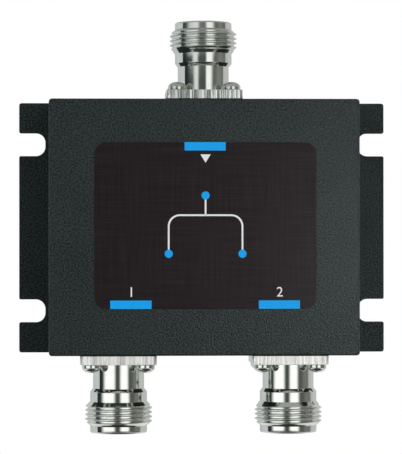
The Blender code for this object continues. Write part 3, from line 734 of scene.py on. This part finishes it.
def pan_screw():
    """A pan-head screw along Z, with the underside of its head at 0."""
    low = PAN_HEAD_HEIGHT * PAN_RIM_SHARE
    rise = PAN_HEAD_HEIGHT - low
    dome = []
    for step in range(1, PAN_DOME_STEPS + 1):
        angle = math.pi / 2 * step / PAN_DOME_STEPS
        dome.append((PAN_HEAD_RADIUS * math.sin(angle), low + rise * math.cos(angle)))
    screw = turned("pan_screw", [
        (0.0, PAN_HEAD_HEIGHT),
        *dome,
        (PAN_HEAD_RADIUS, SMALL_ROUND),
        (PAN_HEAD_RADIUS - SMALL_ROUND, 0.0),
        (PAN_SCREW_RADIUS, 0.0),
        (PAN_SCREW_RADIUS, -PAN_SCREW_LENGTH),
        (0.0, -PAN_SCREW_LENGTH),
    ], SCREW_SIDES)
    blades = cross_blades(PAN_HEAD_HEIGHT, PAN_RECESS_SPAN, PAN_RECESS_DEPTH)
    for blade in blades:
        combine(screw, blade, "DIFFERENCE")
    return finished_mesh(screw, blades)


def flat_screw():
    """A countersunk screw along Z, with the top of its head at 0."""
    screw = turned("flat_screw", [
        (0.0, 0.0),
        (COVER_HEAD_RADIUS - SMALL_ROUND, 0.0),
        (COVER_HEAD_RADIUS, -SMALL_ROUND / 2),
        (COVER_HEAD_RADIUS, -COVER_HEAD_RIM),
        (COVER_SCREW_RADIUS, -COVER_HEAD_RIM - COVER_HEAD_RADIUS + COVER_SCREW_RADIUS),
        (COVER_SCREW_RADIUS, -COVER_SCREW_LENGTH),
        (0.0, -COVER_SCREW_LENGTH),
    ], SCREW_SIDES)
    blades = cross_blades(0.0, COVER_RECESS_SPAN, COVER_RECESS_DEPTH)
    for blade in blades:
        combine(screw, blade, "DIFFERENCE")
    return finished_mesh(screw, blades)


def dress_sockets():
    """Replace the solids of the sockets and their screws by finer ones."""
    blank = shell_blank()
    choose_shell_faces(blank)
    sleeve = insulator()
    centre = contact()
    screw = pan_screw()
    for port in PORTS:
        seat = port_matrix(port)
        shell = blank.copy()
        cut_thread(shell, FIRST_CREST[port], LOWER_CONE[port])
        shell.set_sharp_from_angle(angle=math.radians(SHARP_ANGLE))
        soften_thread(shell)
        # The flange sides take the copy with this socket's painted brightness
        surfaces = (NICKEL_TURNED, FLANGE_SIDES[port], NICKEL_FACED, NICKEL_THREAD)
        place_piece(port + "_threaded_shell", shell, seat, [port + "_shell"], surfaces)
        node = port + "_insulator"
        place_piece(port + "_sleeve", sleeve.copy(), seat, [node], (PLASTIC,))
        node = port + "_contact"
        place_piece(port + "_cup", centre.copy(), seat, [node], (GOLD,))
        head_seat = Matrix.Translation((0.0, 0.0, FLANGE_THICKNESS + SMALL_ROUND / 2))
        for number, (x, y) in enumerate(flange_hole_places(), start=1):
            turn = math.radians(FIRST_SCREW_TURN + SCREW_TURN_STEP * number)
            place = seat @ Matrix.Translation((x, y, 0.0)) @ head_seat @ Matrix.Rotation(turn, 4, "Z")
            node = f"{port}_flange_screw_{number}"
            place_piece(node + "_detailed", screw.copy(), place, [node], (SCREW_STEEL,))
    for mesh in (blank, sleeve, centre, screw):
        bpy.data.meshes.remove(mesh)


def dress_cover_screws():
    """Replace the countersunk screws by finer ones."""
    screw = flat_screw()
    for number, node in enumerate(COVER_SCREWS, start=1):
        middle = node_middle(node)
        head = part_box(node)[1][1]
        turn = math.radians(SCREW_TURN_STEP * number)
        place = Matrix.Translation((middle.x, head, middle.z)) @ Matrix.Rotation(-math.pi / 2, 4, "X")
        place = place @ Matrix.Rotation(turn, 4, "Z")
        place_piece(node + "_detailed", screw.copy(), place, [node], (SCREW_STEEL,))
    bpy.data.meshes.remove(screw)


# Label

def label_matrix():
    """From the label's own plane, X right and Y up with its printed face at 0, to the part's frame."""
    low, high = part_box("front_label")
    place = Matrix.Translation(((low[0] + high[0]) / 2, low[1], (low[2] + high[2]) / 2))
    return place @ Matrix.Rotation(math.pi / 2, 4, "X")


def dress_label():
    """The film with its rounded edge, the port bars, the port marks and a plain circuit sketch."""
    low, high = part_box("front_label")
    width = high[0] - low[0]
    height = high[2] - low[2]
    thickness = high[1] - low[1]
    place = label_matrix()
    outline = rounded_rectangle(width, height, LABEL_CORNER, 3 * SMALL_STEPS)
    film = slab("label_sheet", outline, -thickness, -2 * INK_THICKNESS, LABEL_EDGE)
    place_piece("label_sheet", film, place, ["front_label"], (FILM,))

    top = height / 2
    bars = {
        "input_bar": (BAR_SHIFT, top - BAR_HEIGHT / 2),
        "output_1_bar": (BAR_SHIFT - OUTPUT_BAR_OFFSET, BAR_HEIGHT / 2 - top),
        "output_2_bar": (BAR_SHIFT + OUTPUT_BAR_OFFSET, BAR_HEIGHT / 2 - top),
    }
    for name, (x, y) in bars.items():
        outline = rounded_rectangle(BAR_WIDTH, BAR_HEIGHT, SMALL_ROUND, 2)
        print_shape(name, [(x + across, y + up) for across, up in outline], place, BLUE)

    down = top - BAR_HEIGHT - MARK_GAP
    half = MARK_SIZE / 2
    arrow = [(half, down), (0.0, down - ARROW_HEIGHT), (-half, down)]
    print_shape("input_arrow", arrow, place, WHITE)
    for name, x in (("1", -OUTPUT_BAR_OFFSET), ("2", OUTPUT_BAR_OFFSET)):
        print_digit(name, x, BAR_HEIGHT + MARK_GAP - top, place)
    print_sketch(place)


def print_shape(name, outline, place, surface):
    """A flat patch of ink on the label."""
    mesh = slab(name, outline, -2 * INK_THICKNESS, -INK_THICKNESS)
    place_piece(name, mesh, place, [], (surface,))


def print_digit(text, x, bottom, place):
    """A plain digit, standing on a height and centred on x."""
    curve = bpy.data.curves.new("digit", "FONT")
    curve.body = text
    curve.size = DIGIT_SIZE
    curve.align_x = "CENTER"
    curve.extrude = INK_THICKNESS / 2
    drawn = scratch_object("digit", curve)
    mesh = evaluated_mesh(drawn)
    bpy.data.objects.remove(drawn)
    mesh.transform(Matrix.Translation((x, bottom, -1.5 * INK_THICKNESS)))
    place_piece("output_mark_" + text, mesh, place, [], (WHITE,))


def stroke(points, width):
    """The outline of a line of even width through some points."""
    sides = ([], [])
    for index, (x, y) in enumerate(points):
        before = points[max(index - 1, 0)]
        after = points[min(index + 1, len(points) - 1)]
        along = Vector((after[0] - before[0], after[1] - before[1])).normalized()
        for side, sign in zip(sides, (1, -1)):
            side.append((x + sign * along.y * width / 2, y - sign * along.x * width / 2))
    return sides[0][::-1] + sides[1]


def print_sketch(place):
    """A plain sketch of one line that splits into two, in the middle of the label."""
    bend_x = SKETCH_REACH - SKETCH_BEND
    bend_y = SKETCH_SPLIT - SKETCH_BEND
    trunk = [(0.0, SKETCH_TOP - DOT_RADIUS), (0.0, SKETCH_SPLIT)]
    right = [(0.0, SKETCH_SPLIT)]
    right += arc(bend_x, bend_y, SKETCH_BEND, 90, 0, 3 * SMALL_STEPS)
    right += [(SKETCH_REACH, SKETCH_END + DOT_RADIUS)]
    print_shape("sketch_trunk", stroke(trunk, SKETCH_LINE), place, WHITE)
    print_shape("sketch_right", stroke(right, SKETCH_LINE), place, WHITE)
    left = [(-x, y) for x, y in stroke(right, SKETCH_LINE)[::-1]]
    print_shape("sketch_left", left, place, WHITE)
    dots = {
        "sketch_in": (0.0, SKETCH_TOP),
        "sketch_out_1": (-SKETCH_REACH, SKETCH_END),
        "sketch_out_2": (SKETCH_REACH, SKETCH_END),
    }
    last = 360 - 360 / DOT_SIDES
    for name, (x, y) in dots.items():
        print_shape(name, arc(x, y, DOT_RADIUS, 0, last, DOT_SIDES - 1), place, BLUE)


# Mounting plate

def notched_outline(width, height):
    """The plate's outline, with two notches open to each side."""
    x = width / 2
    y = height / 2
    inner = x - NOTCH_DEPTH + NOTCH_CORNER
    mouth = NOTCH_MOUTH_CORNER
    right = arc(x - PLATE_CORNER, PLATE_CORNER - y, PLATE_CORNER, -90, 0, SMALL_STEPS)
    for level in (-NOTCH_HEIGHT, NOTCH_HEIGHT):
        low = level - NOTCH_WIDTH / 2
        high = level + NOTCH_WIDTH / 2
        right += arc(x - mouth, low - mouth, mouth, 0, 90, SMALL_STEPS)
        right += arc(inner, low + NOTCH_CORNER, NOTCH_CORNER, 270, 180, 3 * SMALL_STEPS)
        right += arc(inner, high - NOTCH_CORNER, NOTCH_CORNER, 180, 90, 3 * SMALL_STEPS)
        right += arc(x - mouth, high + mouth, mouth, 270, 360, SMALL_STEPS)
    right += arc(x - PLATE_CORNER, y - PLATE_CORNER, PLATE_CORNER, 0, 90, SMALL_STEPS)
    return right + [(-across, up) for across, up in reversed(right)]


def dress_plate():
    """Replace the mounting plate by one with finer notches and countersinks."""
    low, high = (Vector(corner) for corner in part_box("rear_plate"))
    thickness = high.y - low.y
    outline = notched_outline(high.x - low.x, high.z - low.z)
    plate = scratch_object("plate", slab("plate", outline, 0.0, thickness, PLATE_EDGE))
    wide = COVER_HEAD_RADIUS + SINK_CLEARANCE
    narrow = COVER_SCREW_RADIUS + 2 * SINK_CLEARANCE
    cone = SINK_DEPTH + COVER_HEAD_RIM
    sink = turned("countersink", [
        (0.0, thickness + PAST),
        (narrow, thickness + PAST),
        (narrow, cone + wide - narrow),
        (wide, cone),
        (wide, -PAST),
        (0.0, -PAST),
    ], SCREW_SIDES)
    cut = evaluated_mesh(sink)
    bpy.data.objects.remove(sink)
    tools = []
    for node in COVER_SCREWS:
        middle = node_middle(node)
        way = cut.copy()
        way.transform(Matrix.Translation((middle.x, middle.z, 0.0)))
        tools.append(scratch_object("countersink", way))
        combine(plate, tools[-1], "DIFFERENCE")
    mesh = finished_mesh(plate, tools)
    place = Matrix.Translation((0.0, high.y, 0.0)) @ Matrix.Rotation(math.pi / 2, 4, "X")
    # The plate gets the darker copy of the coat: painted shade
    place_piece("notched_plate", mesh, place, ["rear_plate"], (SHADED_PLATE_COAT,))


# Carried-over solids

def dress_solids():
    """Finishes for the solids that keep their shape."""
    surfaces = {
        "housing": COAT,
        "circuit_board": LAMINATE,
        "divider_track": COPPER,
    }
    surfaces.update({f"board_screw_{number}": SCREW_STEEL for number in range(1, 5)})
    surfaces.update({f"isolation_resistor_{number}": CERAMIC for number in range(1, 4)})
    for node, surface in surfaces.items():
        solid = frame["nodes"][node]
        solid.data.materials.clear()
        solid.data.materials.append(surface)


# Studio

def seen_directly(tree):
    """1 for rays that look at or mirror the surroundings, 0 for those that gather light."""
    path = tree.nodes.new("ShaderNodeLightPath")
    some = combined(tree, path.outputs["Is Camera Ray"], path.outputs["Is Glossy Ray"], "MAXIMUM")
    return combined(tree, some, path.outputs["Is Transmission Ray"], "MAXIMUM")


def white_world():
    """White where it is seen, softer where it lights: most from the front, least from below."""
    world = bpy.data.worlds.new("white_world")
    bpy.context.scene.world = world
    world.use_nodes = True
    tree = world.node_tree
    source = tree.nodes.new("ShaderNodeTexCoord")
    parts = tree.nodes.new("ShaderNodeSeparateXYZ")
    tree.links.new(source.outputs["Generated"], parts.inputs["Vector"])
    front = combined(tree, combined(tree, parts.outputs["Y"], -1.0, "MULTIPLY"), 0.0, "MAXIMUM")
    ambient = combined(tree, combined(tree, front, AMBIENT_FRONT, "MULTIPLY"), AMBIENT_AROUND, "ADD")
    rise = tree.nodes.new("ShaderNodeMapRange")
    rise.inputs["From Min"].default_value = AMBIENT_RISE[0]
    rise.inputs["From Max"].default_value = AMBIENT_RISE[1]
    rise.inputs["To Min"].default_value = AMBIENT_BELOW
    tree.links.new(parts.outputs["Z"], rise.inputs["Value"])
    soft = combined(tree, ambient, rise.outputs["Result"], "MULTIPLY")
    strength = tree.nodes.new("ShaderNodeMapRange")
    tree.links.new(seen_directly(tree), strength.inputs["Value"])
    tree.links.new(soft, strength.inputs["To Min"])
    background = tree.nodes["Background"]
    background.inputs["Color"].default_value = (1.0, 1.0, 1.0, 1.0)
    tree.links.new(strength.outputs["Result"], background.inputs["Strength"])


def floor():
    """A pale floor far below, white where it is seen."""
    made = bpy.data.materials.new("pale_floor")
    made.use_nodes = True
    tree = made.node_tree
    shader = tree.nodes["Principled BSDF"]
    shader.inputs["Base Color"].default_value = (0.85, 0.85, 0.84, 1.0)
    shader.inputs["Roughness"].default_value = 0.9
    shine = tree.nodes.new("ShaderNodeEmission")
    shine.inputs["Strength"].default_value = 1.0
    mix = tree.nodes.new("ShaderNodeMixShader")
    tree.links.new(seen_directly(tree), mix.inputs["Fac"])
    tree.links.new(shader.outputs["BSDF"], mix.inputs[1])
    tree.links.new(shine.outputs["Emission"], mix.inputs[2])
    tree.links.new(mix.outputs["Shader"], tree.nodes["Material Output"].inputs["Surface"])
    reach = FLOOR_REACH
    outline = [(-reach, -reach), (reach, -reach), (reach, reach), (-reach, reach)]
    mesh = slab("pale_floor", outline, FLOOR_LEVEL - FLOOR_THICKNESS, FLOOR_LEVEL)
    mesh.materials.append(made)
    ground = bpy.data.objects.new("pale_floor", mesh)
    bpy.context.scene.collection.objects.link(ground)
    ground.visible_diffuse = False


def eased(share):
    """A share from 0 to 1 that starts and ends gently."""
    return share * share * (3.0 - 2.0 * share)


def card_colour(direction, brightness):
    """White where it is bright and tinted where it is dim, by its direction."""
    tint = MILD
    if direction < COLD_UNTIL:
        tint = COLD
    elif direction > WARM_FROM:
        tint = WARM
    dim = max(0.0, 1.0 - brightness)
    return (*[brightness * (1.0 - dim * (1.0 - part)) for part in tint], 1.0)


def card(name, stops, low, high):
    """A bent upright card that only reflections show.

    Its stops are pairs of a direction and a brightness. A direction is in degrees from
    straight towards the viewer, positive to the right."""
    shape = bmesh.new()
    shade = shape.verts.layers.float_color.new("shade")
    rows = []
    for (first, start), (last, end) in zip(stops, stops[1:]):
        steps = max(1, round((last - first) / CARD_STEP))
        for step in range(steps + (last == stops[-1][0])):
            share = step / steps
            direction = first + (last - first) * share
            x = CARD_DISTANCE * math.sin(math.radians(direction))
            y = -CARD_DISTANCE * math.cos(math.radians(direction))
            row = (shape.verts.new((x, y, low)), shape.verts.new((x, y, high)))
            for corner in row:
                corner[shade] = card_colour(direction, start + (end - start) * eased(share))
            rows.append(row)
    for left, right in zip(rows, rows[1:]):
        shape.faces.new((left[0], right[0], right[1], left[1]))
    reflected_only(name, mesh_from(shape, name))


def flat_card(name, first, last, level, brightness):
    """A level card between two corners, above or below the part, that only reflections show."""
    shape = bmesh.new()
    shade = shape.verts.layers.float_color.new("shade")
    corners = [(first[0], first[1]), (last[0], first[1]), (last[0], last[1]), (first[0], last[1])]
    made = [shape.verts.new((x, y, level)) for x, y in corners]
    for corner in made:
        corner[shade] = (brightness, brightness, brightness, 1.0)
    shape.faces.new(made)
    reflected_only(name, mesh_from(shape, name))


def card_material():
    """Light of the colour that a card's corners carry."""
    made = bpy.data.materials.new("card")
    made.use_nodes = True
    tree = made.node_tree
    tree.nodes.remove(tree.nodes["Principled BSDF"])
    shade = tree.nodes.new("ShaderNodeAttribute")
    shade.attribute_name = "shade"
    shine = tree.nodes.new("ShaderNodeEmission")
    tree.links.new(shade.outputs["Color"], shine.inputs["Color"])
    tree.links.new(shine.outputs["Emission"], tree.nodes["Material Output"].inputs["Surface"])
    return made


CARD = card_material()


def reflected_only(name, mesh):
    """Stand a card in the studio, out of sight but for reflections."""
    mesh.materials.append(CARD)
    made = bpy.data.objects.new(name, mesh)
    bpy.context.scene.collection.objects.link(made)
    made.visible_camera = False
    made.visible_diffuse = False
    made.visible_shadow = False
    made.visible_transmission = False


def cards():
    """The dark and bright cards whose reflections band the plated sockets."""
    rear_left = [(-182, 0.55), (-145, 0.76), (-120, 0.88), (-94, 0.90)]
    rear_right = [(104, 0.76), (125, 0.80), (150, 0.70), (178, 0.55)]
    barrel = [
        (-91, 0.02), (-82, 0.03), (-70, 0.05), (-52, 0.05), (-35, 1.10), (-28, 1.05), (-19, 0.12),
        (6, 0.10), (15, 1.50), (26, 1.50), (45, 0.18), (70, 0.31), (85, 0.28), (93, 0.22),
    ]
    collar = [
        (-92, 0.07), (-78, 0.09), (-52, 0.97), (-35, 1.15), (-26, 1.10), (-13, 0.27), (4, 0.25),
        (17, 1.50), (28, 1.48), (50, 0.18), (72, 0.29), (94, 0.20),
    ]
    rim = [(direction, 0.02 + 0.92 * brightness) for direction, brightness in collar]
    below = [
        (-93, 0.03), (-78, 0.05), (-56, 1.70), (-26, 1.70), (-10, 0.11), (-2, 0.11), (13, 1.70),
        (32, 1.70), (48, 0.15), (56, 0.15), (75, 0.27), (92, 0.26),
    ]
    low = [(-93, 0.10), (-60, 0.25), (-40, 0.40), (0, 0.12), (30, 0.40), (60, 0.20), (92, 0.20)]
    upright = {
        "card_barrel": (barrel, 0.0, 0.078),
        "card_collar": (collar, 0.078, 0.092),
        "card_rim": (rim, 0.092, 0.25),
        "card_below": (below, -0.16, 0.0),
        "card_low": (low, -0.25, -0.16),
    }
    for name, (stops, bottom, top) in upright.items():
        card(name, rear_left + stops + rear_right, bottom, top)
    flat_card("card_above", (-0.50, -0.50), (0.50, 0.50), level=0.26, brightness=0.48)
    flat_card("card_under", (-0.20, -0.40), (0.20, 0.06), level=-0.26, brightness=0.05)


def lamp(name, place, aim, size, power):
    """A square soft light that the plated metal doesn't mirror."""
    light = bpy.data.lights.new(name, "AREA")
    light.size = size
    light.energy = power
    made = bpy.data.objects.new(name, light)
    made.location = place
    made.rotation_euler = (Vector(aim) - Vector(place)).to_track_quat("-Z", "Y").to_euler()
    made.visible_camera = False
    made.visible_glossy = False
    bpy.context.scene.collection.objects.link(made)
    return made


def sheen_lamp():
    """A close light on the right that shows only as a sheen, on the coated pieces and the label."""
    made = lamp("sheen_right", SHEEN_PLACE, SHEEN_AIM, SHEEN_SIZE, SHEEN_POWER)
    made.visible_glossy = True
    made.visible_diffuse = False
    coated = bpy.data.collections.new("coated")
    finishes = {COAT, SHADED_PLATE_COAT, FILM, BLUE, WHITE}
    for piece in bpy.context.scene.objects:
        if piece.type == "MESH" and finishes & set(piece.data.materials):
            coated.objects.link(piece)
    made.light_linking.receiver_collection = coated


def camera():
    """The photograph's viewpoint: level, and a little left of the middle."""
    lens = bpy.data.cameras.new("camera")
    lens.lens = CAMERA_LENS
    lens.sensor_width = CAMERA_SENSOR
    lens.clip_start = 0.01
    made = bpy.data.objects.new("camera", lens)
    made.location = CAMERA_PLACE
    towards = Vector(CAMERA_AIM) - Vector(CAMERA_PLACE)
    level = towards.to_track_quat("-Z", "Y").to_matrix().to_4x4()
    made.rotation_euler = (level @ Matrix.Rotation(math.radians(CAMERA_ROLL), 4, "Z")).to_euler()
    bpy.context.scene.collection.objects.link(made)
    bpy.context.scene.camera = made


def studio():
    """Surroundings, floor, cards, lights and camera."""
    white_world()
    floor()
    cards()
    lamp("key_right", place=(0.55, -0.75, 0.65), aim=(0.0, 0.0, 0.0), size=0.5, power=3.7)
    lamp("fill_left", place=(-0.70, -0.60, 0.55), aim=(0.0, 0.0, 0.0), size=0.6, power=3.0)
    lamp("edge_left", place=(-0.50, -0.10, 0.0), aim=(0.0, -0.02, 0.0), size=0.2, power=1.1)
    sheen_lamp()
    bpy.context.scene.view_settings.view_transform = "Standard"
    camera()


dress_solids()
dress_plate()
dress_sockets()
dress_cover_screws()
dress_label()
studio()
bpy.data.collections.remove(scratch)
